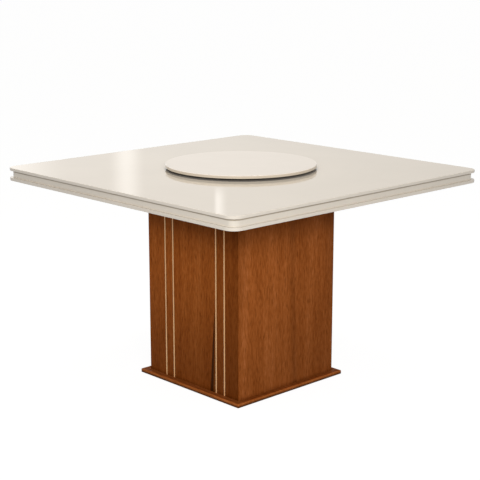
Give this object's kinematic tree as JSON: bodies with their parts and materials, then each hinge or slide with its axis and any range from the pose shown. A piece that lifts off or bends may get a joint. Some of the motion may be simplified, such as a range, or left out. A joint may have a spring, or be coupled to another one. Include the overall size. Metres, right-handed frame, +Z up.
{
  "type": "dining table with lazy susan",
  "caption": "Square pedestal dining table with a glossy cream top, a grooved rim, a veneered box foot with pale inlay lines and a round turntable in the middle.",
  "frame": {"origin": "on the floor, under the middle of the table top and the turntable's axis", "axes": "+Z up along the turntable's axis; the pedestal faces with inlay lines look towards -Y and +Y, the plain ones towards -X and +X"},
  "size_m": [1.2, 1.2, 0.793],
  "materials": {
    "cream_lacquer": "high-gloss cream lacquer on fibreboard",
    "brown_veneer": "satin lacquered red-brown veneer, upright grain",
    "pale_inlay": "satin pale wood stringing",
    "raw_board": "bare softwood and board",
    "zinc_steel": "zinc plated",
    "insert_brass": "turned brass",
    "glide_nylon": "dark nylon",
    "ring_aluminium": "turned, satin",
    "ball_steel": "polished bearing steel",
    "cage_nylon": "natural nylon"
  },
  "bodies": {
    "table": {"top_panel": "cream_lacquer", "core_rail_front": "cream_lacquer", "core_rail_right": "cream_lacquer", "core_rail_back": "cream_lacquer", "core_rail_left": "cream_lacquer", "lip_rail_front": "cream_lacquer", "lip_rail_right": "cream_lacquer", "lip_rail_back": "cream_lacquer", "lip_rail_left": "cream_lacquer", "batten_front": "raw_board", "batten_middle": "raw_board", "batten_back": "raw_board", "pedestal_top_board": "raw_board", "corner_post_front_left": "raw_board", "corner_post_front_right": "raw_board", "corner_post_back_right": "raw_board", "corner_post_back_left": "raw_board", "pedestal_front_panel": "brown_veneer", "pedestal_right_panel": "brown_veneer", "pedestal_back_panel": "brown_veneer", "pedestal_left_panel": "brown_veneer", "plinth_board": "brown_veneer", "inlay_front_1": "pale_inlay", "inlay_front_2": "pale_inlay", "inlay_front_3": "pale_inlay", "inlay_front_4": "pale_inlay", "inlay_back_1": "pale_inlay", "inlay_back_2": "pale_inlay", "inlay_back_3": "pale_inlay", "inlay_back_4": "pale_inlay", "batten_screws": "zinc_steel", "top_bolts": "zinc_steel", "bolt_washers": "zinc_steel", "plinth_screws": "zinc_steel", "fixed_ring_screws": "zinc_steel", "thread_inserts": "insert_brass", "floor_glides": "glide_nylon", "bearing_fixed_ring": "ring_aluminium"},
    "turntable": {"turntable_disc": "cream_lacquer", "bearing_turning_ring": "ring_aluminium", "turning_ring_screws": "zinc_steel"},
    "ball_train": {"ball_cage": "cage_nylon", "bearing_balls": "ball_steel"}
  },
  "joints": [
    {"name": "turntable_spin", "type": "hinge", "parent": "table", "child": "turntable", "pos_m": [0, 0, 0.77875], "axis": [0, 0, 1], "continuous": true},
    {"name": "cage_spin", "type": "hinge", "parent": "table", "child": "ball_train", "pos_m": [0, 0, 0.77875], "axis": [0, 0, 1], "continuous": true}
  ],
  "couplings": [
    {"joint": "cage_spin", "follows": "turntable_spin", "ratio": 0.485}
  ]
}
